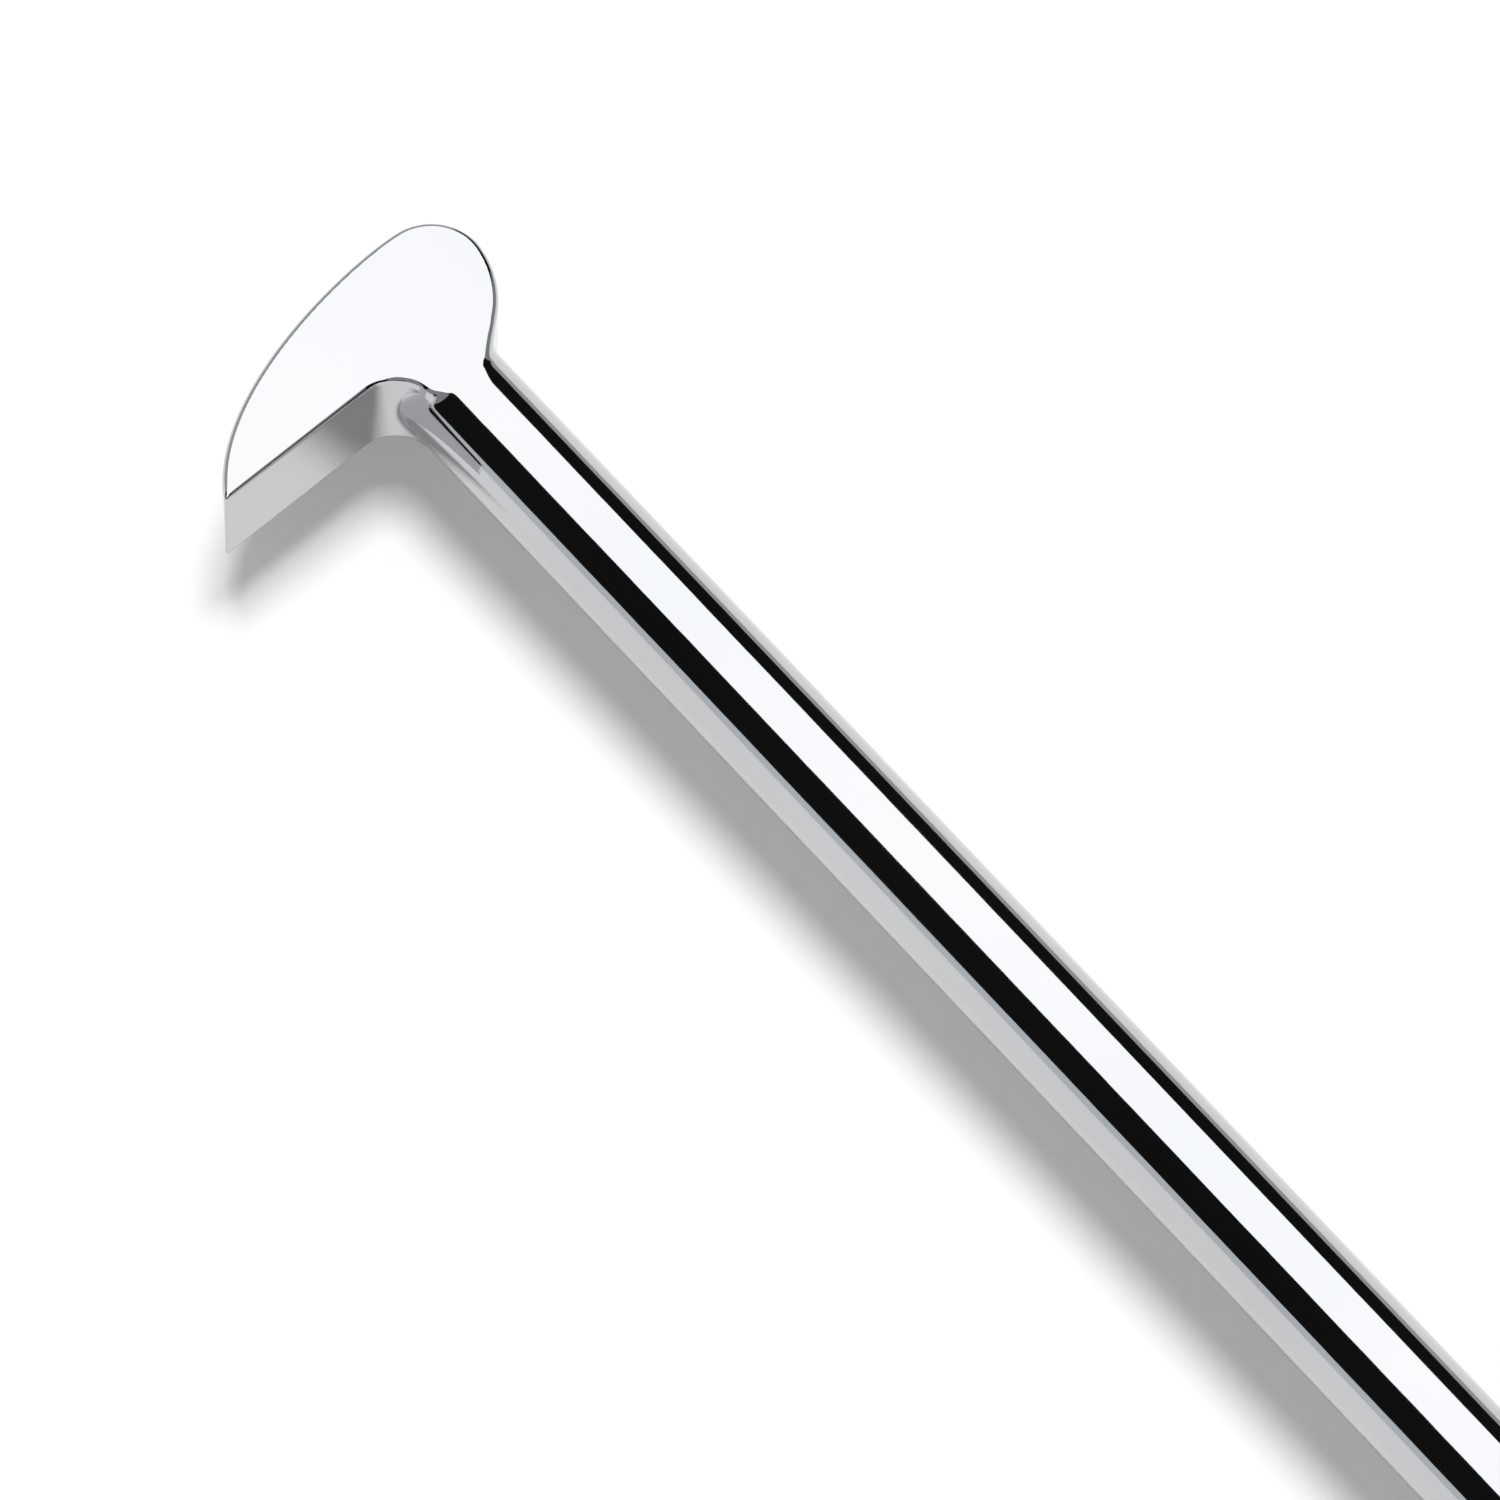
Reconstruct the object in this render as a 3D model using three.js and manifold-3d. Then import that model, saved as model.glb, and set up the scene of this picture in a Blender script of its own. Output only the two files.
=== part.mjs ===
// A small hooked pry tool: one forged and plated bar with a flat hooked head, a bolster collar
// and a stem that runs right through a slim two-part handle to a steel strike cap.
// Units are millimetres. The tool's axis is X: the butt of the handle is at x = 0 and the head
// is at the -X end. The hook's tip points to -Y, the rounded heel to +Y, and the head's flat
// faces look up and down (+Z and -Z).
import * as THREE from 'three';
import { mergeVertices } from 'three/addons/utils/BufferGeometryUtils.js';
import Module from 'manifold-3d';

const wasm = await Module();
wasm.setup();

// ---------------------------------------------------------------- driving dimensions
const BAR_D = 6;                       // round bar that the blade is forged from
const HANDLE_FLATS = 15;               // across the handle's six flats
const SHANK_LENGTH = 100;              // from the hook's root to the bolster collar
const FIT_GAP = 0.3;                   // clearance round everything that sits in a bore

// Lengths along the handle, from the butt towards the head
const CAP_LENGTH = 16;
const WASHER_LENGTH = 1;
const REAR_FLANGE_LENGTH = 8;
const SLEEVE_LENGTH = 66;
const GUARD_LENGTH = 6;
const FERRULE_LENGTH = 10;
const COLLAR_LENGTH = 3;

// ---------------------------------------------------------------- stations along X
const CAP_X = -CAP_LENGTH;
const WASHER_X = CAP_X - WASHER_LENGTH;
const SLEEVE_BACK_X = WASHER_X - REAR_FLANGE_LENGTH;
const SLEEVE_FRONT_X = SLEEVE_BACK_X - SLEEVE_LENGTH;
const GUARD_X = SLEEVE_FRONT_X - GUARD_LENGTH;
const FERRULE_X = GUARD_X - FERRULE_LENGTH;
const COLLAR_X = FERRULE_X - COLLAR_LENGTH;
const HEAD_X = COLLAR_X - SHANK_LENGTH;

// ---------------------------------------------------------------- head
const BAR_R = BAR_D / 2;
const HEAD_HALF_THICK = 0.46 * BAR_D;  // flats ground a little below the bar's crown
const RUNOUT_RADIUS = 14;              // the grinding wheel's run-out from the flats to the crown
const RUNOUT_START = -1.4;             // where the wheel's lowest line crosses the bar
const FLAT_END = -0.4;                 // where the run-out rises through the flats' level
const CROWN_CLEARANCE = 1.2;           // the run-out's cut stops at this multiple of the radius

// The head's outline, measured from the hook's root on the bar's axis, with x towards the handle
const TIP = new THREE.Vector2(-1.25, -14.65);
const FRONT_PULL_1 = new THREE.Vector2(-6.95, -11.7);
const FRONT_PULL_2 = new THREE.Vector2(-9.22, -1);
const CREST_R = 3;                     // the tight turn at the top of the front edge
const CREST = new THREE.Vector2(-6.22, 2.7);
const CREST_END = THREE.MathUtils.degToRad(82.6);
const HEEL_R = 6.6;                    // the long back of the heel, tangent to the crest
const HEEL_SLOPE = Math.PI / 4;        // the heel runs down to the bar at 45 degrees
const NECK_HALF = 1.1;                 // half width of the flats where they sink into the bar
const NECK_END = 3;
const FILLET_R = 2.2;                  // inside corner between the prying face and the bar
const FACE_TOP = new THREE.Vector2(-2.28, -4.5);
const SHOULDER = new THREE.Vector2(-0.08, -2.3);

// ---------------------------------------------------------------- blade stem and collar
const COLLAR_R = 5;
const COLLAR_CHAMFER = 0.6;
const STEM_END_X = -6.5;
const STEM_CHAMFER = 0.7;
const BAR_START = -2;                  // the bar's round starts inside the head

// ---------------------------------------------------------------- handle
const BORE_R = BAR_R + FIT_GAP;
const FERRULE_FRONT_R = 6.1;
const FERRULE_BACK_R = 6.8;
const FERRULE_WALL = 1;
const FERRULE_LIP = 0.8;
const SPIGOT_R = FERRULE_FRONT_R - FERRULE_WALL - FIT_GAP;
const CORE_R = 5.2;                    // the core under the soft sleeve
const FLAT_R = HANDLE_FLATS / 2;
const CORNER_RATIO = 1.07;             // the handle's rounded corners against its flats
const EDGE = 0.6;                      // turned-down edges of the guard, flange and strike cap
const WAIST_R = 6.5;                   // the finger waist behind the guard
const WAIST_START = 2;                 // from the sleeve's front
const WAIST_LENGTH = 18;
const WASHER_R = 6.6;
const CAP_R = 7.3;
const CAP_END_R = 6.8;
const CAP_CHAMFER = 1.2;
const CAP_BORE_DEPTH = 10;
const PIN_R = 1;
const PIN_X = -9;
const PIN_HALF_LENGTH = 6.8;

// Steps in round and curved stretches
const ROUND_STEPS = 36;
const BAR_STEPS = 40;
const HOLE_STEPS = 20;
const PIN_STEPS = 16;
const OUTLINE_STEPS = 14;
const RUNOUT_STEPS = 8;
const WAIST_STEPS = 8;

// ---------------------------------------------------------------- materials
const plated = new THREE.MeshStandardMaterial({ color: 0xe8ebee, roughness: 0.06, metalness: 1 });
const platedDull = new THREE.MeshStandardMaterial({ color: 0xd5d8dc, roughness: 0.22, metalness: 1 });
const hardPlastic = new THREE.MeshStandardMaterial({ color: 0x4a5057, roughness: 0.45, metalness: 0 });
const softPlastic = new THREE.MeshStandardMaterial({ color: 0x1b1c1e, roughness: 0.8, metalness: 0 });
const bareSteel = new THREE.MeshStandardMaterial({ color: 0xb4b6b8, roughness: 0.35, metalness: 1 });
const blackSteel = new THREE.MeshStandardMaterial({ color: 0x55585c, roughness: 0.4, metalness: 1 });

// ---------------------------------------------------------------- helpers
// A round piece on the tool's axis, from [station along X, radius] pairs
function turned(profile, steps = ROUND_STEPS) {
  const points = profile.map(([x, r]) => new THREE.Vector2(r, x));
  return new THREE.LatheGeometry(points, steps).rotateZ(-Math.PI / 2);
}

function toSolid(geometry) {
  const bare = geometry.clone();
  bare.deleteAttribute('normal');
  bare.deleteAttribute('uv');
  const merged = mergeVertices(bare, 1e-4);
  return new wasm.Manifold(new wasm.Mesh({
    numProp: 3,
    vertProperties: new Float32Array(merged.attributes.position.array),
    triVerts: new Uint32Array(merged.index.array),
  }));
}

function toGeometry(solid) {
  const mesh = solid.getMesh();
  const geometry = new THREE.BufferGeometry();
  geometry.setAttribute('position', new THREE.BufferAttribute(mesh.vertProperties, 3));
  geometry.setIndex(new THREE.BufferAttribute(mesh.triVerts, 1));
  geometry.computeVertexNormals();
  return geometry;
}

// Turns every section beyond innerR into a hexagon with rounded corners, flats up and down
function hexed(geometry, innerR) {
  const position = geometry.attributes.position;
  for (let i = 0; i < position.count; i += 1) {
    const y = position.getY(i);
    const z = position.getZ(i);
    if (Math.hypot(y, z) > innerR) {
      const degrees = THREE.MathUtils.radToDeg(Math.atan2(z, y));
      const fromFlat = THREE.MathUtils.euclideanModulo(degrees, 60) - 30;
      const grow = Math.min(1 / Math.cos(THREE.MathUtils.degToRad(fromFlat)), CORNER_RATIO);
      position.setY(i, y * grow);
      position.setZ(i, z * grow);
    }
  }
  return geometry;
}

function crossHole(radius) {
  const length = 4 * CAP_R;
  const hole = new THREE.CylinderGeometry(radius, radius, length, HOLE_STEPS);
  return toSolid(hole.translate(PIN_X, 0, 0));
}

function part(name, geometry, material) {
  const mesh = new THREE.Mesh(geometry, material);
  mesh.name = name;
  return mesh;
}

// ---------------------------------------------------------------- blade
function headOutline() {
  const heel = new THREE.Vector2(Math.cos(CREST_END), Math.sin(CREST_END))
    .multiplyScalar(CREST_R - HEEL_R).add(CREST);
  const heelEndY = heel.y + HEEL_R * Math.sin(HEEL_SLOPE);
  const heelEndX = heel.x + HEEL_R * Math.cos(HEEL_SLOPE);
  const shape = new THREE.Shape();
  shape.moveTo(TIP.x, TIP.y);
  shape.bezierCurveTo(
    FRONT_PULL_1.x, FRONT_PULL_1.y, FRONT_PULL_2.x, FRONT_PULL_2.y, CREST.x - CREST_R, CREST.y);
  shape.absarc(CREST.x, CREST.y, CREST_R, Math.PI, CREST_END, true);
  shape.absarc(heel.x, heel.y, HEEL_R, CREST_END, HEEL_SLOPE, true);
  shape.lineTo(heelEndX + heelEndY - NECK_HALF, NECK_HALF);
  shape.lineTo(NECK_END, NECK_HALF);
  shape.lineTo(NECK_END, -NECK_HALF);
  shape.lineTo(SHOULDER.x + FILLET_R / 2, -NECK_HALF);
  shape.lineTo(SHOULDER.x, SHOULDER.y);
  shape.absarc(SHOULDER.x, SHOULDER.y - FILLET_R, FILLET_R, Math.PI / 2, Math.PI, false);
  shape.lineTo(FACE_TOP.x, FACE_TOP.y);
  shape.closePath();
  return shape;
}

// The space left between the two ground flats along the bar: a wheel's curved run-out, then clear
// of the bar and the collar. The head's level flats lie just outside it and cover its start.
function groundEnvelope() {
  const level = HEAD_HALF_THICK - (FLAT_END - RUNOUT_START) ** 2 / (2 * RUNOUT_RADIUS);
  const rise = CROWN_CLEARANCE * BAR_R - level;
  const run = Math.sqrt(2 * RUNOUT_RADIUS * rise);
  const front = BAR_START - 2 * BAR_D;
  const side = [[front, level]];
  for (let i = 0; i <= RUNOUT_STEPS; i += 1) {
    const along = (run * i) / RUNOUT_STEPS;
    side.push([RUNOUT_START + along, level + (along * along) / (2 * RUNOUT_RADIUS)]);
  }
  const clear = 2 * COLLAR_R;
  side.push([SHANK_LENGTH / 2, clear], [-HEAD_X, clear]);
  const lower = side.map(([x, z]) => [x, -z]).reverse();
  const shape = new THREE.Shape([...side, ...lower].map(([x, z]) => new THREE.Vector2(x, z)));
  const depth = 4 * COLLAR_R;
  return new THREE.ExtrudeGeometry(shape, { depth, bevelEnabled: false })
    .rotateX(Math.PI / 2)
    .translate(HEAD_X, depth / 2, 0);
}

function blade() {
  const thick = 2 * HEAD_HALF_THICK;
  const plate = new THREE.ExtrudeGeometry(
    headOutline(), { depth: thick, bevelEnabled: false, curveSegments: OUTLINE_STEPS })
    .translate(HEAD_X, 0, -HEAD_HALF_THICK);
  const barStart = HEAD_X + BAR_START;
  const bar = turned([
    [barStart, 0],
    [barStart, BAR_R],
    [COLLAR_X, BAR_R],
    [COLLAR_X, COLLAR_R - COLLAR_CHAMFER],
    [COLLAR_X + COLLAR_CHAMFER, COLLAR_R],
    [FERRULE_X - COLLAR_CHAMFER, COLLAR_R],
    [FERRULE_X, COLLAR_R - COLLAR_CHAMFER],
    [FERRULE_X, BAR_R],
    [STEM_END_X - STEM_CHAMFER, BAR_R],
    [STEM_END_X, BAR_R - STEM_CHAMFER],
    [STEM_END_X, 0],
  ], BAR_STEPS);
  const solid = toSolid(bar)
    .intersect(toSolid(groundEnvelope()))
    .add(toSolid(plate))
    .subtract(crossHole(PIN_R + FIT_GAP));
  return part('pry_blade', toGeometry(solid), plated);
}

// ---------------------------------------------------------------- handle pieces
function frontFerrule() {
  return part('front_ferrule', turned([
    [FERRULE_X, BORE_R],
    [FERRULE_X, FERRULE_FRONT_R - FERRULE_LIP],
    [FERRULE_X + FERRULE_LIP, FERRULE_FRONT_R],
    [GUARD_X, FERRULE_BACK_R],
    [GUARD_X, SPIGOT_R + FIT_GAP],
    [FERRULE_X + FERRULE_WALL, SPIGOT_R + FIT_GAP],
    [FERRULE_X + FERRULE_WALL, BORE_R],
    [FERRULE_X, BORE_R],
  ]), platedDull);
}

function handleCore() {
  const front = FERRULE_X + FERRULE_WALL;
  const profile = [
    [front, BORE_R],
    [front, SPIGOT_R],
    [GUARD_X, SPIGOT_R],
    [GUARD_X, FLAT_R - EDGE],
    [GUARD_X + EDGE, FLAT_R],
    [SLEEVE_FRONT_X, FLAT_R],
    [SLEEVE_FRONT_X, CORE_R],
    [SLEEVE_BACK_X, CORE_R],
    [SLEEVE_BACK_X, FLAT_R],
    [WASHER_X - 2 * EDGE, FLAT_R],
    [WASHER_X, FLAT_R - EDGE],
    [WASHER_X, BORE_R],
    [front, BORE_R],
  ];
  return part('handle_core', hexed(turned(profile), CORE_R + FIT_GAP), hardPlastic);
}

function gripSleeve() {
  const front = SLEEVE_FRONT_X;
  const back = SLEEVE_BACK_X;
  const inner = CORE_R + FIT_GAP;
  const profile = [[front, inner], [front, FLAT_R]];
  for (let i = 0; i <= WAIST_STEPS; i += 1) {
    const along = i / WAIST_STEPS;
    const dip = (1 - Math.cos(2 * Math.PI * along)) / 2;
    profile.push([front + WAIST_START + WAIST_LENGTH * along, FLAT_R - (FLAT_R - WAIST_R) * dip]);
  }
  profile.push([back, FLAT_R], [back, inner], [front, inner]);
  return part('grip_sleeve', hexed(turned(profile), CORE_R + 2 * FIT_GAP), softPlastic);
}

function endWasher() {
  return part('end_washer', turned([
    [WASHER_X, BORE_R],
    [WASHER_X, WASHER_R],
    [CAP_X, WASHER_R],
    [CAP_X, BORE_R],
    [WASHER_X, BORE_R],
  ]), bareSteel);
}

function strikeCap() {
  const cap = turned([
    [CAP_X, BORE_R],
    [CAP_X, CAP_R - EDGE],
    [CAP_X + EDGE, CAP_R],
    [-CAP_CHAMFER, CAP_END_R],
    [0, CAP_END_R - CAP_CHAMFER],
    [0, 0],
    [CAP_X + CAP_BORE_DEPTH, 0],
    [CAP_X + CAP_BORE_DEPTH, BORE_R],
    [CAP_X, BORE_R],
  ]);
  const solid = toSolid(cap).subtract(crossHole(PIN_R + FIT_GAP));
  return part('strike_cap', toGeometry(solid), blackSteel);
}

function capPin() {
  const shape = new THREE.CylinderGeometry(PIN_R, PIN_R, 2 * PIN_HALF_LENGTH, PIN_STEPS);
  const pin = part('cap_pin', shape, bareSteel);
  pin.position.x = PIN_X;
  return pin;
}

const tool = new THREE.Group();
tool.add(blade(), frontFerrule(), handleCore(), gripSleeve(), endWasher(), strikeCap(), capPin());

export default tool;
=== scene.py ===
"""A small hooked pry tool on a pale studio floor.

The blade is one smooth surface made from a distance field: a flat plate with the hook's outline,
blended into a round bar, with the collar and the stem behind it. The handle's pieces are closed
sections swept round the tool's axis, X, and the pin is a slotted tube along Y. Shapes are worked
out in millimetres, and each mesh is scaled to metres when it is made.
"""

import math

import bmesh
import bpy
import numpy as np
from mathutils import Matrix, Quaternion, Vector


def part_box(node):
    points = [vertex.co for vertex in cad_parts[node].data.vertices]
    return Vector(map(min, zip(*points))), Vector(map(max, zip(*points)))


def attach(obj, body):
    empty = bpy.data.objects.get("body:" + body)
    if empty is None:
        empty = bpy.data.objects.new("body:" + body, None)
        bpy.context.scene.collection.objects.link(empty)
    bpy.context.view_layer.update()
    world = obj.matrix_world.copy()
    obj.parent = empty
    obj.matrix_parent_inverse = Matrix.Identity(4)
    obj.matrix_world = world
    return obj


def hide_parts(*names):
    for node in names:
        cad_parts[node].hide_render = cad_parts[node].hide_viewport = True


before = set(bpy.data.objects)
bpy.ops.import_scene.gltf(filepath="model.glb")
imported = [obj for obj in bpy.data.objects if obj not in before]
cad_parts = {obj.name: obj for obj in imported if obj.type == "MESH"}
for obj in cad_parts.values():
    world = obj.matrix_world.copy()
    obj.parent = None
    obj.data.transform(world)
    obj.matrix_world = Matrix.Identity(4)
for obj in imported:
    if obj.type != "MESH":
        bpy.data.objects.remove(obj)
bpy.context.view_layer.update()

MM = 0.001


# ------------------------------------------------------------------ sizes read from the frame
def span(node):
    """Lowest and highest X of a CAD node, and its largest half height, in millimetres."""
    low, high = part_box(node)
    return low.x / MM, high.x / MM, high.z / MM


BLADE_FRONT, STEM_END, BLADE_R = span("pry_blade")
FERRULE_FRONT, FERRULE_BACK, FERRULE_R = span("front_ferrule")
_, CORE_BACK, FLAT_R = span("handle_core")
SLEEVE_FRONT, SLEEVE_BACK, _ = span("grip_sleeve")
WASHER_FRONT, WASHER_BACK, WASHER_R = span("end_washer")
CAP_FRONT, CAP_BACK, CAP_R = span("strike_cap")
PIN_X = sum(span("cap_pin")[:2]) / 2
PIN_R = span("cap_pin")[2]
PIN_HALF_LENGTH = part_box("cap_pin")[1].y / MM

# ------------------------------------------------------------------ blade sizes
BAR_R = 3.0
HEAD_HALF_THICK = 0.46 * 2 * BAR_R     # half the distance between the ground flats
RUNOUT_RADIUS = 14.0                   # the grinding wheel's run-out on to the bar's crown
RUNOUT_START = -1.4                    # where the wheel's lowest line crosses the bar
FLAT_END = -0.4                        # where the run-out rises through the flats' level
BAR_START = -2.0                       # the bar's axis starts inside the head
EDGE_R = 0.42                          # polished-over edges of the flats
NECK_BLEND = 0.5                       # the fillet where the head's sides meet the round bar
CROWN_BLEND = 0.04                     # the same over the crown, where both are nearly level
CROWN_HALF = 1.25                      # half width of that crown
RUNOUT_BLEND = 0.12                    # the softened edge between run-out and bar
POLISH = 0.15                          # how far polishing evens out the creases at the neck
POLISHED_MIDDLE = 0.3                  # where it does, as an ellipse seen from above
POLISHED_LENGTH = 3.2
POLISHED_WIDTH = 4.2
TIP = np.array((-1.25, -14.65))
FRONT_PULL_1 = np.array((-6.95, -11.7))
FRONT_PULL_2 = np.array((-9.22, -1.0))
CREST = np.array((-6.22, 2.7))
CREST_R = 3.0
CREST_END = math.radians(82.6)
HEEL_R = 6.6
HEEL_SLOPE = math.radians(45)
NECK_HALF = 1.1
FILLET_R = 2.2
FACE_TOP = np.array((-2.28, -4.5))
SHOULDER = np.array((-0.08, -2.3))
HEAD_X = BLADE_FRONT - (CREST[0] - CREST_R)
FIT_GAP = 0.3
STEM_CHAMFER = 0.7                     # rounded end of the stem inside the cap
COLLAR_LENGTH = 3.0
COLLAR_X = FERRULE_FRONT - COLLAR_LENGTH
COLLAR_R = BLADE_R                     # the collar is the blade's thickest part
COLLAR_EDGE_R = 0.6
COLLAR_FILLET = 0.5
BLADE_CELL = 0.15                      # grid of the blade's surface, finest at the neck
NECK_CELL = 0.08
BAR_CELL = 2.5                         # along the plain bar, which needs few rings
COLLAR_CELL = 0.2
SNAP_ROUNDS = 4                        # steps that bring the mesh on to the surface
LEAST_SLOPE2 = 0.05                    # and the least squared slope that they divide by

# ------------------------------------------------------------------ handle sizes
BORE_R = BAR_R + FIT_GAP
FERRULE_FRONT_R = 6.1
FERRULE_WALL = 1.0
FERRULE_GROOVES = (FERRULE_BACK - 3.4, FERRULE_BACK - 1.9)
GROOVE_HALF = 0.35
GROOVE_DEPTH = 0.22
SPIGOT_R = FERRULE_FRONT_R - FERRULE_WALL - FIT_GAP
CORE_R = 5.2
CORNER_RATIO = 1.07                    # the corners' reach against the flats'
HEXAGON_RISE = 0.8                     # from the round core's size to the full hexagon
CORNER_SOFTNESS = 0.006                # of the hexagon's corners, as a share of its flats
WAIST_R = 6.5
WAIST_START = 2.0
WAIST_LENGTH = 18.0
RIBS = 13
RIB_PITCH = 2.6
RIB_DEPTH = 0.55
RIB_REACH = math.radians(23)           # half the angle that a groove takes on a flat
RIB_FADE = 0.35                        # the share of it over which the groove runs out
RIB_NARROWNESS = 8                     # the power of a sine wave that gives the groove's section
RIBS_START = SLEEVE_FRONT + WAIST_START + WAIST_LENGTH + 5
CAP_END_R = 6.8
CAP_CHAMFER = 1.2
CAP_BORE_DEPTH = 10.0
CAP_GROOVE_X = 2.6
CAP_GROOVE_HALF = 0.35
CAP_GROOVE_DEPTH = 0.3
PIN_WALL = 0.3
SINK_DEPTH = 0.75
HOLE_STEPS = 48
AXIS_GAP = 0.01                        # a section that closes on the axis is swept this near it
WELD_GAP = 0.003                       # vertices that the cap's boolean leaves this close are one
PIN_SLOT = math.radians(14)            # half the angle of the spring pin's slot
PIN_STEPS = 40


# ------------------------------------------------------------------ curve helpers
def arc(centre, radius, start, end, step=0.06):
    count = max(3, int(abs(end - start) * radius / step))
    turn = np.linspace(start, end, count)
    return np.stack((centre[0] + radius * np.cos(turn), centre[1] + radius * np.sin(turn)), 1)


def bezier(p0, p1, p2, p3, count=300):
    t = np.linspace(0, 1, count)[:, None]
    return (1 - t) ** 3 * p0 + 3 * (1 - t) ** 2 * t * p1 + 3 * (1 - t) * t * t * p2 + t ** 3 * p3


def head_outline():
    """The head's outline round the hook's root, x towards the handle and y towards the heel."""
    towards_crest = np.array((math.cos(CREST_END), math.sin(CREST_END)))
    heel = CREST + (CREST_R - HEEL_R) * towards_crest
    heel_end = heel + HEEL_R * np.array((math.cos(HEEL_SLOPE), math.sin(HEEL_SLOPE)))
    neck_top = (heel_end[0] + heel_end[1] - NECK_HALF, NECK_HALF)
    return np.concatenate((
        bezier(TIP, FRONT_PULL_1, FRONT_PULL_2, CREST - (CREST_R, 0)),
        arc(CREST, CREST_R, math.pi, CREST_END),
        arc(heel, HEEL_R, CREST_END, HEEL_SLOPE),
        [neck_top, (SHOULDER[0] + FILLET_R / 2, -NECK_HALF)],
        arc(SHOULDER - (0, FILLET_R), FILLET_R, math.pi / 2, math.pi),
        [FACE_TOP],
    ))


# ------------------------------------------------------------------ distance fields
CELL_CORNERS = [(i, j, k) for i in (0, 1) for j in (0, 1) for k in (0, 1)]


class PlanDistance:
    """Signed distance to the head's outline, tabulated on a fine grid and read back smoothly."""

    STEP = 0.07
    LOW = np.array((-11.0, -16.5))
    HIGH = np.array((6.0, 8.0))

    def __init__(self, outline):
        self.nx, self.ny = (((self.HIGH - self.LOW) / self.STEP).astype(int) + 1)
        x = self.LOW[0] + self.STEP * np.arange(self.nx)
        y = self.LOW[1] + self.STEP * np.arange(self.ny)
        px, py = np.meshgrid(x, y, indexing="ij")
        best = np.full(px.shape, 1e9)
        inside = np.zeros(px.shape, bool)
        for a, b in zip(outline, np.roll(outline, -1, 0)):
            edge = b - a
            length2 = max(edge @ edge, 1e-12)
            t = np.clip(((px - a[0]) * edge[0] + (py - a[1]) * edge[1]) / length2, 0, 1)
            away = (px - a[0] - t * edge[0]) ** 2 + (py - a[1] - t * edge[1]) ** 2
            best = np.minimum(best, away)
            if a[1] != b[1]:
                crosses = (a[1] > py) != (b[1] > py)
                inside ^= crosses & (px < (py - a[1]) * edge[0] / edge[1] + a[0])
        self.table = np.sqrt(best) * np.where(inside, -1, 1)
        for _ in range(2):
            self.table = self.smoothed(self.table)

    @staticmethod
    def smoothed(table):
        t = np.pad(table, 1, mode="edge")
        t = (t[:-2] + 2 * t[1:-1] + t[2:]) / 4
        return (t[:, :-2] + 2 * t[:, 1:-1] + t[:, 2:]) / 4

    def __call__(self, x, y):
        u = np.clip((x - self.LOW[0]) / self.STEP, 0, self.nx - 1.001)
        v = np.clip((y - self.LOW[1]) / self.STEP, 0, self.ny - 1.001)
        i, j = u.astype(int), v.astype(int)
        fu, fv = u - i, v - j
        t = self.table
        low = t[i, j] * (1 - fu) + t[i + 1, j] * fu
        high = t[i, j + 1] * (1 - fu) + t[i + 1, j + 1] * fu
        return low * (1 - fv) + high * fv


def blended(a, b, width):
    """Union of two distances with a smooth fillet between them."""
    h = np.maximum(width - np.abs(a - b), 0) / width
    return np.minimum(a, b) - h ** 3 * width / 6


def round_cut(a, b, radius):
    """Intersection of two distances with their shared edge rounded."""
    corner = np.hypot(np.maximum(a + radius, 0), np.maximum(b + radius, 0))
    return np.minimum(np.maximum(a, b), -radius) + corner


plan = PlanDistance(head_outline())


def forged_distance(x, y, z):
    """Distance to the head and bar as they are forged and ground."""
    local = x - HEAD_X
    bar = np.hypot(np.hypot(y, z), np.minimum(local - BAR_START, 0)) - BAR_R
    past = np.maximum(local - RUNOUT_START, 0)
    rise = (past ** 2 - (FLAT_END - RUNOUT_START) ** 2) / (2 * RUNOUT_RADIUS)
    bar = -blended(-bar, HEAD_HALF_THICK + rise - np.abs(z), RUNOUT_BLEND)
    plate = round_cut(plan(local, y), np.abs(z) - HEAD_HALF_THICK, EDGE_R)
    side = np.clip((np.abs(y) - CROWN_HALF) / (BAR_R - CROWN_HALF), 0, 1)
    width = CROWN_BLEND + (NECK_BLEND - CROWN_BLEND) * side * (2 - side)
    return blended(plate, bar, width)


def polished_distance(x, y, z):
    """The same with the creases where the head meets the bar evened out."""
    distance = forged_distance(x, y, z)
    along = (x - HEAD_X - POLISHED_MIDDLE) / POLISHED_LENGTH
    share = np.clip(2 * (1 - along ** 2 - (y / POLISHED_WIDTH) ** 2), 0, 1)
    share = share ** 2 * (3 - 2 * share)
    near = share > 0
    total = 0
    for i, j, k in CELL_CORNERS:
        shift = POLISH * (2 * np.array((i, j, k)) - 1)
        total = total + forged_distance(x[near] + shift[0], y[near] + shift[1], z[near] + shift[2])
    distance[near] += share[near] * (total / len(CELL_CORNERS) - distance[near])
    return distance


def blade_distance(x, y, z):
    """Distance to the blade's surface: head, bar, collar, and the stem inside the handle."""
    body = round_cut(polished_distance(x, y, z), x - STEM_END, STEM_CHAMFER)
    collar_middle = COLLAR_X + COLLAR_LENGTH / 2
    rim = np.hypot(y, z) - COLLAR_R
    faces = np.abs(x - collar_middle) - COLLAR_LENGTH / 2
    collar = round_cut(rim, faces, COLLAR_EDGE_R)
    body = np.where(x < FERRULE_FRONT, blended(body, collar, COLLAR_FILLET),
                    np.minimum(body, collar))
    pin_hole = np.hypot(x - PIN_X, z) - (PIN_R + FIT_GAP)
    return np.maximum(body, -pin_hole)


def gradient(field, points, step=0.03):
    slope = np.empty_like(points)
    for axis in range(3):
        shift = np.zeros(3)
        shift[axis] = step
        ahead, behind = points + shift, points - shift
        slope[:, axis] = (field(*ahead.T) - field(*behind.T)) / (2 * step)
    return slope


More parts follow.
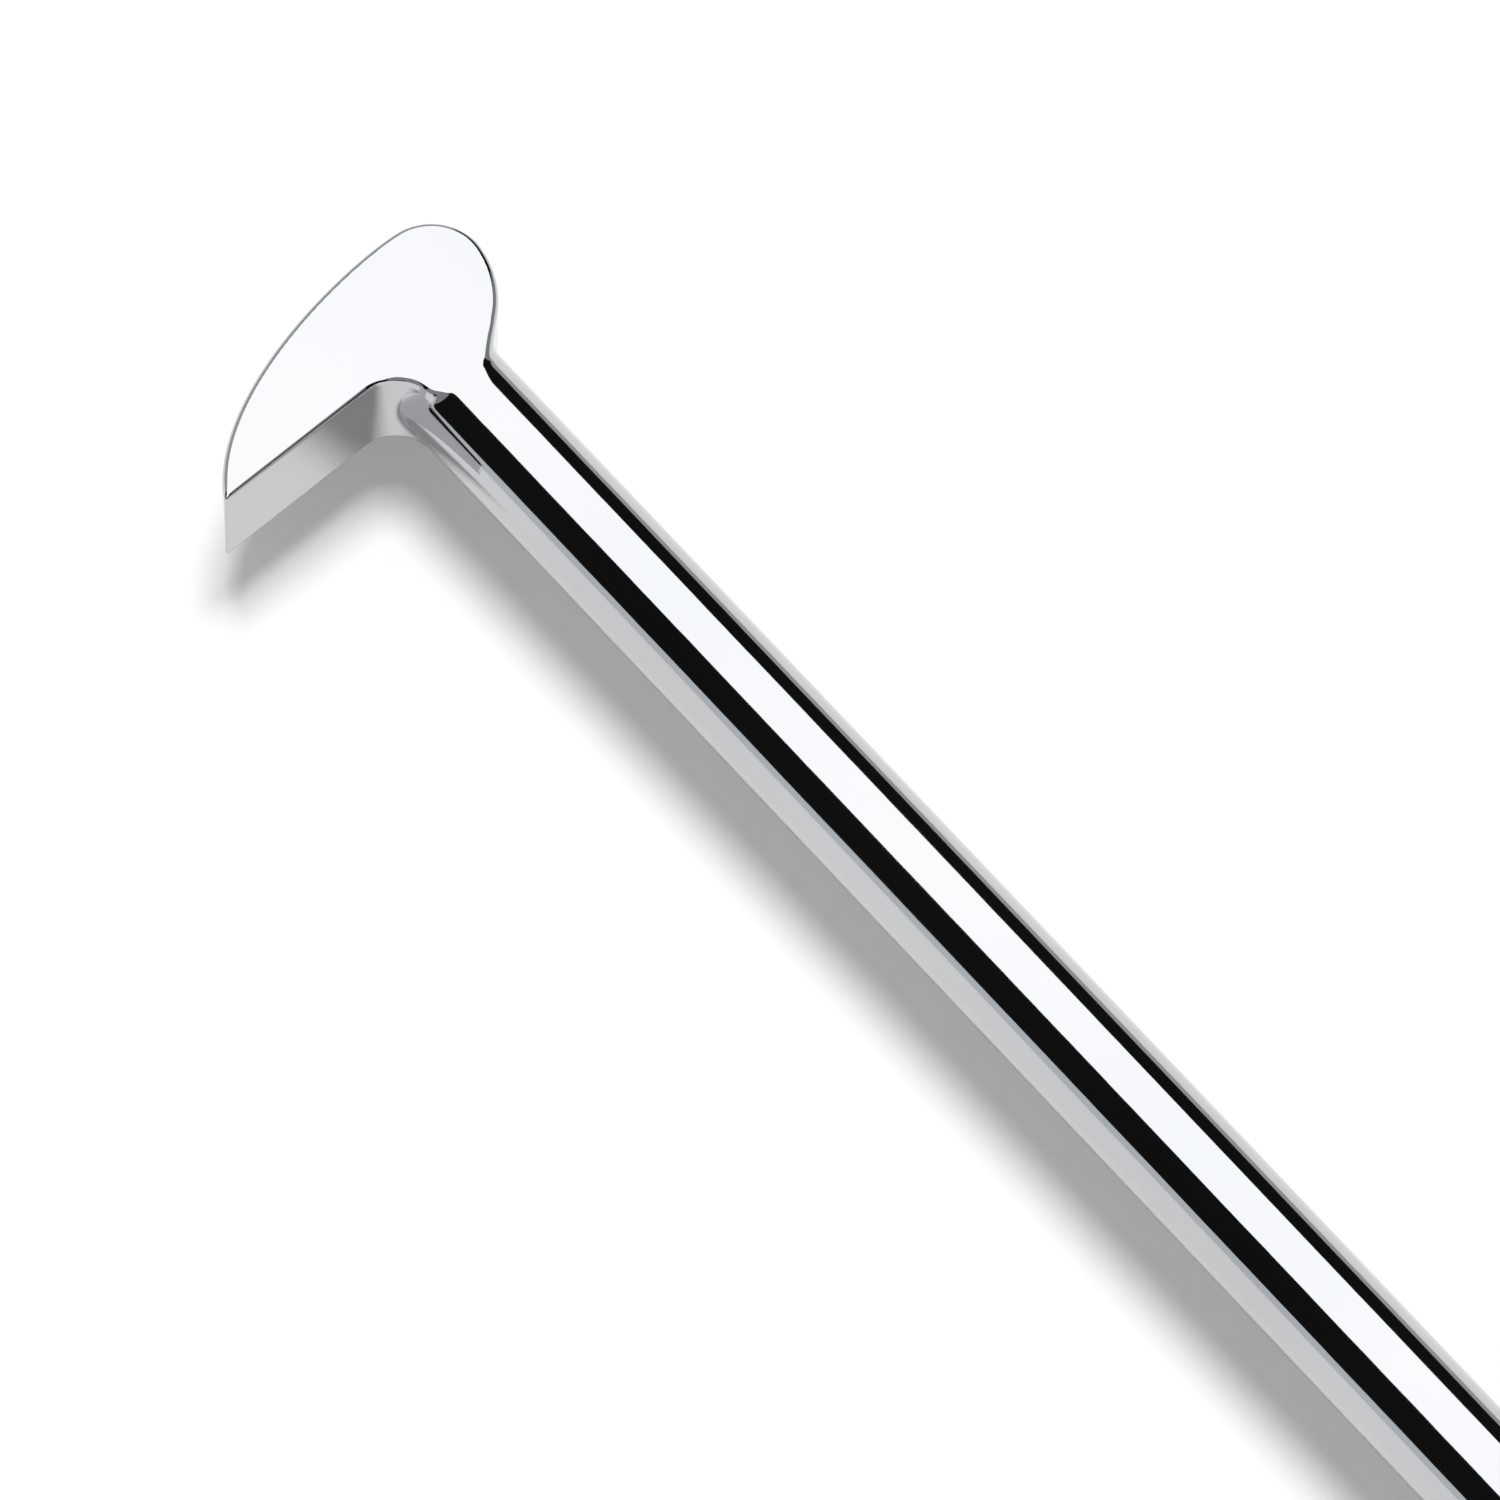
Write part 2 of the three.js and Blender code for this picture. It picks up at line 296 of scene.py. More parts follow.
# ------------------------------------------------------------------ surface from a field
def cell_edges():
    """The 12 edges of a grid cell as pairs of corners."""
    pairs = []
    for a in CELL_CORNERS:
        for axis in range(3):
            if a[axis] == 0:
                b = list(a)
                b[axis] = 1
                pairs.append((a, tuple(b)))
    return pairs


def surface(field, xs, ys, zs):
    """Vertices, quads and normals of the zero surface of a field, on a graded grid."""
    lines = (xs, ys, zs)
    value = field(*np.meshgrid(xs, ys, zs, indexing="ij"))
    shape = tuple(n - 1 for n in value.shape)
    total = np.zeros(shape + (3,))
    count = np.zeros(shape)
    for a, b in cell_edges():
        va = value[tuple(slice(c, c + n) for c, n in zip(a, shape))]
        vb = value[tuple(slice(c, c + n) for c, n in zip(b, shape))]
        hit = (va < 0) != (vb < 0)
        share = np.where(hit, va / np.where(va == vb, 1, va - vb), 0)
        count += hit
        for axis in range(3):
            ends = [lines[axis][c[axis]:c[axis] + shape[axis]] for c in (a, b)]
            view = [None, None, None]
            view[axis] = slice(None)
            start, end = ends[0][tuple(view)], ends[1][tuple(view)]
            total[..., axis] += np.where(hit, start + (end - start) * share, 0)
    used = count > 0
    number = np.full(shape, -1)
    number[used] = np.arange(used.sum())
    points = total[used] / count[used][:, None]
    quads = []
    for axis in range(3):
        inner = [slice(1, -1)] * 3
        inner[axis] = slice(0, -1)
        ahead = list(inner)
        ahead[axis] = slice(1, None)
        va, vb = value[tuple(inner)], value[tuple(ahead)]
        b, c = (axis + 1) % 3, (axis + 2) % 3
        index = np.argwhere((va < 0) != (vb < 0))
        index += [0 if n == axis else 1 for n in range(3)]
        outward = (va < 0)[(va < 0) != (vb < 0)]
        corners = []
        for db, dc in ((-1, -1), (0, -1), (0, 0), (-1, 0)):
            cell = index.copy()
            cell[:, b] += db
            cell[:, c] += dc
            corners.append(number[tuple(cell.T)])
        quad = np.stack(corners, 1)
        quads.append(np.where(outward[:, None], quad, quad[:, ::-1]))
    quads = np.concatenate(quads)
    for _ in range(SNAP_ROUNDS):
        slope = gradient(field, points)
        size2 = np.maximum((slope ** 2).sum(1), LEAST_SLOPE2)
        points = points - (field(*points.T) / size2)[:, None] * slope
    normals = gradient(field, points)
    normals /= np.linalg.norm(normals, axis=1)[:, None]
    return points, quads, normals


def graded(*stretches):
    """Grid lines from (end, step) stretches after a start value: graded(start, (end, step), ...)."""
    start, rest = stretches[0], stretches[1:]
    lines = [np.array([start])]
    for end, step in rest:
        count = max(1, round((end - lines[-1][-1]) / step))
        lines.append(np.linspace(lines[-1][-1], end, count + 1)[1:])
    return np.concatenate(lines)


# ------------------------------------------------------------------ mesh helpers
def new_piece(name, points, faces, node, material, normals=None):
    mesh = bpy.data.meshes.new(name)
    mesh.from_pydata((np.asarray(points) * MM).tolist(), [], np.asarray(faces).tolist())
    mesh.update()
    mesh.shade_smooth()
    if normals is not None:
        mesh.normals_split_custom_set_from_vertices(normals.tolist())
    piece = bpy.data.objects.new(name, mesh)
    bpy.context.scene.collection.objects.link(piece)
    mesh.materials.append(material)
    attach(piece, "root")
    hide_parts(node)
    return piece


def make_blade(material):
    xs = graded(BLADE_FRONT - 0.4, (HEAD_X - 2.4, BLADE_CELL), (HEAD_X + 1.8, NECK_CELL),
                (HEAD_X + 5, BLADE_CELL), (HEAD_X + 8, 0.3), (HEAD_X + 14, 0.75),
                (COLLAR_X - 2, BAR_CELL), (FERRULE_FRONT + 1, COLLAR_CELL), (PIN_X - 2, BAR_CELL),
                (STEM_END + 0.4, BLADE_CELL))
    ys = graded(TIP[1] - 0.4, (CREST[1] + CREST_R + 0.4, BLADE_CELL))
    bar_reach, reach = BAR_R + 0.3, COLLAR_R + 0.4
    zs = graded(-reach, (-bar_reach, 0.25), (bar_reach, BLADE_CELL), (reach, 0.25))
    points, faces, normals = surface(blade_distance, xs, ys, zs)
    new_piece("blade", points, faces, "pry_blade", material, normals)


# ------------------------------------------------------------------ handle shapes
def rounded(corners, steps=5):
    """A closed profile from (x, radius, fillet) corners, with each corner's fillet as an arc."""
    points = []
    for before, corner, after in zip(np.roll(corners, 1, 0), corners, np.roll(corners, -1, 0)):
        here, fillet = corner[:2], corner[2]
        if fillet == 0:
            points.append(here)
            continue
        back = (before[:2] - here) / np.linalg.norm(before[:2] - here)
        ahead = (after[:2] - here) / np.linalg.norm(after[:2] - here)
        half = math.acos(np.clip(back @ ahead, -1, 1)) / 2
        bisector = (back + ahead) / np.linalg.norm(back + ahead)
        centre = here + bisector * fillet / math.sin(half)
        start = here + back * fillet / math.tan(half) - centre
        end = here + ahead * fillet / math.tan(half) - centre
        for t in np.linspace(0, 1, steps):
            spoke = start * (1 - t) + end * t
            points.append(centre + spoke * fillet / np.linalg.norm(spoke))
    return np.array(points)


def filled(profile, step):
    """The same closed profile with no stretch longer than a step."""
    points = []
    for a, b in zip(profile, np.roll(profile, -1, 0)):
        count = max(1, math.ceil(np.linalg.norm(b - a) / step))
        points += [a + (b - a) * n / count for n in range(count)]
    return np.array(points)


def from_flat(turn):
    """Angle from the middle of the nearest of the handle's six flats."""
    return np.mod(turn, math.pi / 3) - math.pi / 6


def hexagon(turn):
    """How far the handle's section reaches against its flats, with softly rounded corners."""
    flat = 1 / np.cos(from_flat(turn))
    gap = np.clip((CORNER_RATIO - flat) / CORNER_SOFTNESS, -30, 30)
    return flat - CORNER_SOFTNESS * np.log1p(np.exp(-gap))


def swept(profile, steps, radius=None):
    """A ring swept round X from a closed profile; radius(x, r, turn) may reshape it."""
    turn = np.linspace(0, 2 * math.pi, steps, endpoint=False)[None, :]
    x, r = profile[:, :1] + 0 * turn, profile[:, 1:] + 0 * turn
    if radius is not None:
        r = radius(x, r, turn)
    points = np.stack((x, r * np.cos(turn), r * np.sin(turn)), -1).reshape(-1, 3)
    rows, columns = x.shape
    i, j = np.meshgrid(np.arange(rows), np.arange(columns), indexing="ij")
    i2, j2 = (i + 1) % rows, (j + 1) % columns
    ring = (i * columns + j, i * columns + j2, i2 * columns + j2, i2 * columns + j)
    faces = np.stack(ring, -1).reshape(-1, 4)
    return facing_out(points, faces)


def facing_out(points, faces):
    """Points, faces turned outwards, and vertex normals weighted by area."""
    corner = points[faces]
    areas = np.cross(corner[:, 2] - corner[:, 0], corner[:, 3] - corner[:, 1])
    if (areas * corner.mean(1)).sum() < 0:
        faces, areas = faces[:, ::-1], -areas
    normals = np.zeros_like(points)
    for n in range(4):
        np.add.at(normals, faces[:, n], areas)
    return points, faces, normals / np.linalg.norm(normals, axis=1)[:, None]


def make_ferrule(material):
    rise = (FERRULE_R - FERRULE_FRONT_R) / (FERRULE_BACK - FERRULE_FRONT)
    corners = [(FERRULE_FRONT, BORE_R, 0.1), (FERRULE_FRONT, FERRULE_FRONT_R - 0.1, 0.75)]
    for middle in FERRULE_GROOVES:
        for side, depth in ((-1, 0), (-0.4, 1), (0.4, 1), (1, 0)):
            x = middle + side * GROOVE_HALF
            r = FERRULE_FRONT_R + rise * (x - FERRULE_FRONT) - depth * GROOVE_DEPTH
            corners.append((x, r, 0.08))
    corners += [
        (FERRULE_BACK, FERRULE_R, 0.15), (FERRULE_BACK, SPIGOT_R + FIT_GAP, 0.1),
        (FERRULE_FRONT + FERRULE_WALL, SPIGOT_R + FIT_GAP, 0.2),
        (FERRULE_FRONT + FERRULE_WALL, BORE_R, 0.1)]
    points, faces, normals = swept(filled(rounded(np.array(corners)), 0.8), 120)
    new_piece("ferrule", points, faces, "front_ferrule", material, normals)


def make_core(material):
    front = FERRULE_FRONT + FERRULE_WALL
    corners = np.array([
        (front, BORE_R, 0.1), (front, SPIGOT_R, 0.3), (FERRULE_BACK, SPIGOT_R, 0.1),
        (FERRULE_BACK, FLAT_R, 0.9), (SLEEVE_FRONT, FLAT_R, 0.3), (SLEEVE_FRONT, CORE_R, 0.1),
        (SLEEVE_BACK, CORE_R, 0.1), (SLEEVE_BACK, FLAT_R, 0.3), (CORE_BACK, FLAT_R, 1.3),
        (CORE_BACK, BORE_R, 0.1)])

    def section(x, r, turn):
        share = np.clip((r - CORE_R - FIT_GAP) / HEXAGON_RISE, 0, 1)
        return r * (1 + share * (hexagon(turn) - 1))

    points, faces, normals = swept(filled(rounded(corners, 7), 0.5), 144, section)
    new_piece("core", points, faces, "handle_core", material, normals)


def make_sleeve(material):
    inner = CORE_R + FIT_GAP
    corners = np.array([
        (SLEEVE_FRONT, inner, 0), (SLEEVE_FRONT, FLAT_R, 0.35), (SLEEVE_BACK, FLAT_R, 0.35),
        (SLEEVE_BACK, inner, 0)])

    def section(x, r, turn):
        along = np.clip((x - SLEEVE_FRONT - WAIST_START) / WAIST_LENGTH, 0, 1)
        waist = (FLAT_R - WAIST_R) * (1 - np.cos(2 * math.pi * along)) / 2
        share = np.clip((r - inner) / (FLAT_R - inner), 0, 1)
        place = (x - RIBS_START) / RIB_PITCH
        on_flat = np.clip((RIB_REACH - np.abs(from_flat(turn))) / (RIB_FADE * RIB_REACH), 0, 1)
        inside = (place > 0) & (place < RIBS)
        wave = np.sin(math.pi * place) ** RIB_NARROWNESS
        groove = inside * wave * on_flat ** 2 * (3 - 2 * on_flat)
        return (r - share * waist) * (1 + share * (hexagon(turn) - 1)) - share * RIB_DEPTH * groove

    points, faces, normals = swept(filled(rounded(corners, 6), 0.22), 132, section)
    new_piece("sleeve", points, faces, "grip_sleeve", material, normals)


def make_washer(material):
    corners = np.array([
        (WASHER_FRONT, BORE_R, 0.1), (WASHER_FRONT, WASHER_R, 0.12), (WASHER_BACK, WASHER_R, 0.25),
        (WASHER_BACK, BORE_R, 0.1)])
    points, faces, normals = swept(filled(rounded(corners), 0.5), 120)
    new_piece("washer", points, faces, "end_washer", material, normals)


def cross_hole():
    """The cutter for the cap's pin hole, a round bar along Y with a countersink at each side."""
    hole = PIN_R + FIT_GAP
    reach = 2 * CAP_R
    sink = CAP_R - SINK_DEPTH
    half = [(sink, hole), (reach, hole + reach - sink)]
    profile = [(-y, r) for y, r in half[::-1]] + half
    turn = np.linspace(0, 2 * math.pi, HOLE_STEPS, endpoint=False)
    points = [(PIN_X + r * math.sin(t), y, r * math.cos(t)) for y, r in profile for t in turn]
    rows = len(profile)
    faces = [[row * HOLE_STEPS + n, row * HOLE_STEPS + (n + 1) % HOLE_STEPS,
              (row + 1) * HOLE_STEPS + (n + 1) % HOLE_STEPS, (row + 1) * HOLE_STEPS + n]
             for row in range(rows - 1) for n in range(HOLE_STEPS)]
    faces.append(list(range(HOLE_STEPS))[::-1])
    faces.append([(rows - 1) * HOLE_STEPS + n for n in range(HOLE_STEPS)])
    mesh = bpy.data.meshes.new("cap_hole")
    mesh.from_pydata((np.array(points) * MM).tolist(), [], faces)
    shape = bmesh.new()
    shape.from_mesh(mesh)
    bmesh.ops.recalc_face_normals(shape, faces=shape.faces)
    shape.to_mesh(mesh)
    shape.free()
    return bpy.data.objects.new("cap_hole", mesh)


def cap_profile():
    """The cap's section from its closed end on the axis, round the outside, to its blind bore."""
    taper = (CAP_R - CAP_END_R) / (CAP_BACK - CAP_FRONT)
    bottom = CAP_FRONT + CAP_BORE_DEPTH
    corners = [(bottom, AXIS_GAP, 0), (bottom, BORE_R, 0.3), (CAP_FRONT, BORE_R, 0.15),
               (CAP_FRONT, CAP_R, 0.45)]
    middle = CAP_FRONT + CAP_GROOVE_X
    for side, depth in ((-1, 0), (-0.4, 1), (0.4, 1), (1, 0)):
        x = middle + side * CAP_GROOVE_HALF
        corners.append((x, CAP_R - taper * (x - CAP_FRONT) - depth * CAP_GROOVE_DEPTH, 0.1))
    corners += [(CAP_BACK - CAP_CHAMFER, CAP_END_R, 0.3),
                (CAP_BACK, CAP_END_R - CAP_CHAMFER, 0.15), (CAP_BACK, AXIS_GAP, 0)]
    return filled(rounded(np.array(corners)), 0.9)


def make_cap(material):
    points, faces, _ = swept(cap_profile(), 128)
    on_axis = np.hypot(points[:, 1], points[:, 2]) < 2 * AXIS_GAP
    points[on_axis, 1:] = 0
    piece = new_piece("cap", points, faces, "strike_cap", material)
    shape = bmesh.new()
    shape.from_mesh(piece.data)
    bmesh.ops.remove_doubles(shape, verts=shape.verts, dist=AXIS_GAP * MM)
    # The stretch of the section along the axis leaves faces without any area.
    inner = [f for f in shape.faces if max(math.hypot(v.co.y, v.co.z) for v in f.verts) == 0]
    bmesh.ops.delete(shape, geom=inner, context="FACES")
    bmesh.ops.recalc_face_normals(shape, faces=shape.faces)
    shape.to_mesh(piece.data)
    shape.free()
    cutter = cross_hole()
    bpy.context.scene.collection.objects.link(cutter)
    cut = piece.modifiers.new("pin_hole", "BOOLEAN")
    cut.operation = "DIFFERENCE"
    cut.solver = "EXACT"
    cut.object = cutter
    bpy.context.view_layer.update()
    result = piece.evaluated_get(bpy.context.evaluated_depsgraph_get())
    finished = bpy.data.meshes.new_from_object(result)
    piece.modifiers.remove(cut)
    shape = bmesh.new()
    shape.from_mesh(finished)
    bmesh.ops.remove_doubles(shape, verts=shape.verts, dist=WELD_GAP * MM)
    bmesh.ops.dissolve_degenerate(shape, edges=shape.edges, dist=WELD_GAP * MM)
    shape.to_mesh(finished)
    shape.free()
    piece.data = finished
    finished.shade_smooth()
    finished.set_sharp_from_angle(angle=math.radians(32))
    bpy.data.objects.remove(cutter)


def make_pin(material):
    """A rolled spring pin: an open tube with drawn-in ends, along Y."""
    around = np.linspace(PIN_SLOT, 2 * math.pi - PIN_SLOT, PIN_STEPS)
    outer = np.stack((np.cos(around), np.sin(around)), 1)
    section = np.concatenate((outer * PIN_R, outer[::-1] * (PIN_R - PIN_WALL)))
    half = PIN_HALF_LENGTH
    # Each station is a place along the pin and how far the end is drawn in there.
    stations = [(-half, 0.8), (-half + 0.5, 0.97), (-half + 0.7, 1), (half - 0.7, 1),
                (half - 0.5, 0.97), (half, 0.8)]
    size = len(section)
    points = [(PIN_X + a * k, y, b * k) for y, k in stations for a, b in section]
    faces = [(row * size + n, row * size + (n + 1) % size,
              (row + 1) * size + (n + 1) % size, (row + 1) * size + n)
             for row in range(len(stations) - 1) for n in range(size)]
    for row, flip in ((0, False), (len(stations) - 1, True)):
        for n in range(size // 2 - 1):
            end = [row * size + k for k in (n, n + 1, size - 2 - n, size - 1 - n)]
            faces.append(end if flip else end[::-1])
    points, faces = np.array(points), np.array(faces)
    centred = points - (PIN_X, 0, 0)
    _, faces, _ = facing_out(centred, faces)
    piece = new_piece("pin", points, faces, "cap_pin", material)
    piece.data.set_sharp_from_angle(angle=math.radians(35))


# ------------------------------------------------------------------ materials
class Nodes:
    """A small helper for building a material's node tree."""

    def __init__(self, name):
        self.material = bpy.data.materials.new(name)
        self.material.use_nodes = True
        self.tree = self.material.node_tree
        self.shader = self.tree.nodes["Principled BSDF"]

    def add(self, kind, **settings):
        node = self.tree.nodes.new("ShaderNode" + kind)
        for key, value in settings.items():
            setattr(node, key, value)
        return node

    def link(self, output, target):
        self.tree.links.new(output, target)

    def position(self, scale=(1, 1, 1)):
        place = self.add("Mapping")
        place.inputs["Scale"].default_value = scale
        self.link(self.add("TexCoord").outputs["Object"], place.inputs["Vector"])
        return place.outputs["Vector"]

    def noise(self, vector, scale, detail=3.0, roughness=0.5):
        node = self.add("TexNoise")
        self.link(vector, node.inputs["Vector"])
        node.inputs["Scale"].default_value = scale
        node.inputs["Detail"].default_value = detail
        node.inputs["Roughness"].default_value = roughness
        return node.outputs["Fac"]

    def ranged(self, value, low, high, from_low=0.3, from_high=0.7):
        node = self.add("MapRange")
        self.link(value, node.inputs["Value"])
        node.inputs["From Min"].default_value = from_low
        node.inputs["From Max"].default_value = from_high
        node.inputs["To Min"].default_value = low
        node.inputs["To Max"].default_value = high
        return node.outputs["Result"]

    def mix_colour(self, share, first, second):
        node = self.add("Mix", data_type="RGBA")
        self.link(share, node.inputs["Factor"])
        node.inputs["A"].default_value = (*first, 1)
        node.inputs["B"].default_value = (*second, 1)
        return node.outputs["Result"]

    def bump(self, height, distance, strength=1.0):
        node = self.add("Bump")
        self.link(height, node.inputs["Height"])
        node.inputs["Distance"].default_value = distance
        node.inputs["Strength"].default_value = strength
        self.link(node.outputs["Normal"], self.shader.inputs["Normal"])


def chrome_material():
    m = Nodes("blade_chrome")
    m.shader.inputs["Metallic"].default_value = 1
    smudge = m.noise(m.position(), 55, 4)
    m.link(m.mix_colour(m.ranged(smudge, 0, 1), (0.516, 0.529, 0.541), (0.541, 0.551, 0.561)),
           m.shader.inputs["Base Color"])
    m.link(m.ranged(smudge, 0.025, 0.06), m.shader.inputs["Roughness"])
    polish = m.noise(m.position((0.03, 1, 1)), 5200, 3, 0.6)
    m.bump(polish, 0.0000006)
    return m.material


def ferrule_material():
    m = Nodes("ferrule_satin")
    m.shader.inputs["Metallic"].default_value = 1
    lines = m.noise(m.position((1, 0.02, 0.02)), 9000, 2)
    tone = m.noise(m.position(), 160, 3)
    m.link(m.mix_colour(tone, (0.50, 0.51, 0.52), (0.60, 0.61, 0.62)), m.shader.inputs["Base Color"])
    m.link(m.ranged(lines, 0.17, 0.33), m.shader.inputs["Roughness"])
    m.bump(lines, 0.000012)
    return m.material


def core_material():
    m = Nodes("core_moulded")
    grain = m.noise(m.position(), 3200, 3, 0.6)
    tone = m.noise(m.position(), 120, 2)
    m.link(m.mix_colour(tone, (0.060, 0.072, 0.086), (0.078, 0.092, 0.108)),
           m.shader.inputs["Base Color"])
    m.link(m.ranged(grain, 0.36, 0.52), m.shader.inputs["Roughness"])
    m.bump(grain, 0.00004)
    return m.material


def sleeve_material():
    m = Nodes("sleeve_soft")
    grain = m.noise(m.position(), 2400, 4, 0.65)
    dust = m.noise(m.position(), 200, 4, 0.6)
    m.link(m.mix_colour(m.ranged(dust, 0, 1, 0.45, 0.8), (0.0125, 0.013, 0.014),
                        (0.026, 0.026, 0.027)), m.shader.inputs["Base Color"])
    m.link(m.ranged(grain, 0.62, 0.82), m.shader.inputs["Roughness"])
    m.bump(grain, 0.00006)
    return m.material


def washer_material():
    m = Nodes("washer_zinc")
    m.shader.inputs["Metallic"].default_value = 1
    spangle = m.noise(m.position(), 900, 3)
    m.link(m.mix_colour(spangle, (0.44, 0.45, 0.46), (0.62, 0.63, 0.65)),
           m.shader.inputs["Base Color"])
    m.link(m.ranged(spangle, 0.26, 0.42), m.shader.inputs["Roughness"])
    m.bump(spangle, 0.00001)
    return m.material


def turned_steel(name, dark, light, rough_low, rough_high):
    """Steel with fine turning rings round X and a slight change of tone."""
    m = Nodes(name)
    m.shader.inputs["Metallic"].default_value = 1
    split = m.add("SeparateXYZ")
    m.link(m.position(), split.inputs["Vector"])
    flat = m.add("CombineXYZ")
    m.link(split.outputs["Y"], flat.inputs["X"])
    m.link(split.outputs["Z"], flat.inputs["Y"])
    radius = m.add("VectorMath", operation="LENGTH")
    m.link(flat.outputs["Vector"], radius.inputs[0])
    place = m.add("CombineXYZ")
    m.link(split.outputs["X"], place.inputs["X"])
    m.link(radius.outputs["Value"], place.inputs["Y"])
    rings = m.noise(place.outputs["Vector"], 5200, 2)
    tone = m.noise(m.position(), 240, 4)
    m.link(m.mix_colour(m.ranged(tone, 0, 1), dark, light), m.shader.inputs["Base Color"])
    m.link(m.ranged(rings, rough_low, rough_high), m.shader.inputs["Roughness"])
    m.bump(rings, 0.00002)
    return m.material


# ------------------------------------------------------------------ studio
CAMERA_AZIMUTH = math.radians(50.0)
CAMERA_ELEVATION = math.radians(56.6)
CAMERA_ROLL = math.radians(1.74)
FRAME_CENTRE_ALONG = 26.1              # from the hook's root towards the handle
FRAME_CENTRE_SIDE = -1.78
FRAME_WIDTH = 76.75 * MM               # how much of the bar's plane the picture spans
CAMERA_DISTANCE = 757 * MM
SENSOR_WIDTH = 36
FLOOR_Z = -FLAT_R * MM                 # the handle rests on one of its flats
FLOOR_REACH = 3.0
KEY_DIRECTION = Vector((-0.05, 0.07, 1))
KEY_DISTANCE = 1.2
KEY_SIZE = 0.52
KEY_POWER = 11.2
WORLD_SEEN = 1.0                       # the backdrop's strength as the camera sees it,
WORLD_MIRRORED = 0.009                 # in reflections, where the cards take its place,
WORLD_LIGHT = 0.54                     # and as light on everything
CARDS = (                              # centre from the hook's root, two half sides, strength, colour
    ("softbox", (0.085, 0.186, 0.6), (0.865, 0, 0), (0, 0.469, 0), 1.76, (1, 1, 1)),
    ("near_card", (-0.35, -0.9, 0.096), (0.9, 0, 0), (0, 0, 0.104), 0.79, (0.92, 0.97, 1.0)),
    ("far_card", (-0.35, 0.9, 0.081), (0.9, 0, 0), (0, 0, 0.089), 0.48, (1, 1, 1)),
    ("front_card", (-1.5, 0.4, 0.55), (0, 1.3, 0), (0, 0, 0.55), 0.5, (1, 1, 1)),
    ("side_card", (0.75, 0.9, 0.6), (0.95, 0, 0), (0, 0, 0.4), 0.34, (1, 1, 1)),
    ("back_card", (0.9, -0.9, 1.06), (1.1, 0, 0), (0, 0, 0.83), 0.34, (1, 1, 1)),
)


def add_camera():
    camera = bpy.data.cameras.new("camera")
    camera.sensor_width = SENSOR_WIDTH
    camera.lens = SENSOR_WIDTH * CAMERA_DISTANCE / FRAME_WIDTH
    camera.clip_start, camera.clip_end = 0.01, 20
    holder = bpy.data.objects.new("camera", camera)
    bpy.context.scene.collection.objects.link(holder)
    aim = Vector((HEAD_X + FRAME_CENTRE_ALONG, FRAME_CENTRE_SIDE, 0)) * MM
    level = math.cos(CAMERA_ELEVATION)
    back = Vector((math.sin(CAMERA_AZIMUTH) * level, -math.cos(CAMERA_AZIMUTH) * level,
                   math.sin(CAMERA_ELEVATION)))
    holder.location = aim + back * CAMERA_DISTANCE
    holder.rotation_mode = "QUATERNION"
    holder.rotation_quaternion = (back.to_track_quat("Z", "Y")
                                  @ Quaternion((0, 0, 1), CAMERA_ROLL))
    bpy.context.scene.camera = holder


def stage_plane(name, centre, along, across, material):
    """A flat card: centre, and its two half sides as vectors, in metres."""
    corners = [centre + i * along + j * across for i, j in ((-1, -1), (1, -1), (1, 1), (-1, 1))]
    mesh = bpy.data.meshes.new(name)
    mesh.from_pydata([tuple(c) for c in corners], [], [(0, 1, 2, 3)])
    mesh.materials.append(material)
    card = bpy.data.objects.new(name, mesh)
    bpy.context.scene.collection.objects.link(card)
    return card


def floor_material():
    m = Nodes("floor_paper")
    tone = m.noise(m.position(), 3, 2)
    m.link(m.mix_colour(tone, (0.83, 0.83, 0.83), (0.85, 0.85, 0.85)), m.shader.inputs["Base Color"])
    m.shader.inputs["Roughness"].default_value = 1
    m.shader.inputs["Specular IOR Level"].default_value = 0
    return m.material


def glow_material(name, strength, colour):
    m = Nodes(name)
    glow = m.add("Emission")
    glow.inputs["Color"].default_value = (*colour, 1)
    glow.inputs["Strength"].default_value = strength
    output = m.tree.nodes["Material Output"]
    m.link(glow.outputs["Emission"], output.inputs["Surface"])
    return m.material


def add_reflector(name, centre, along, across, strength, colour):
    """A glowing card that only shows in reflections."""
    card = stage_plane(name, centre, along, across, glow_material(name, strength, colour))
    card.visible_camera = False
    card.visible_diffuse = False
    card.visible_shadow = False


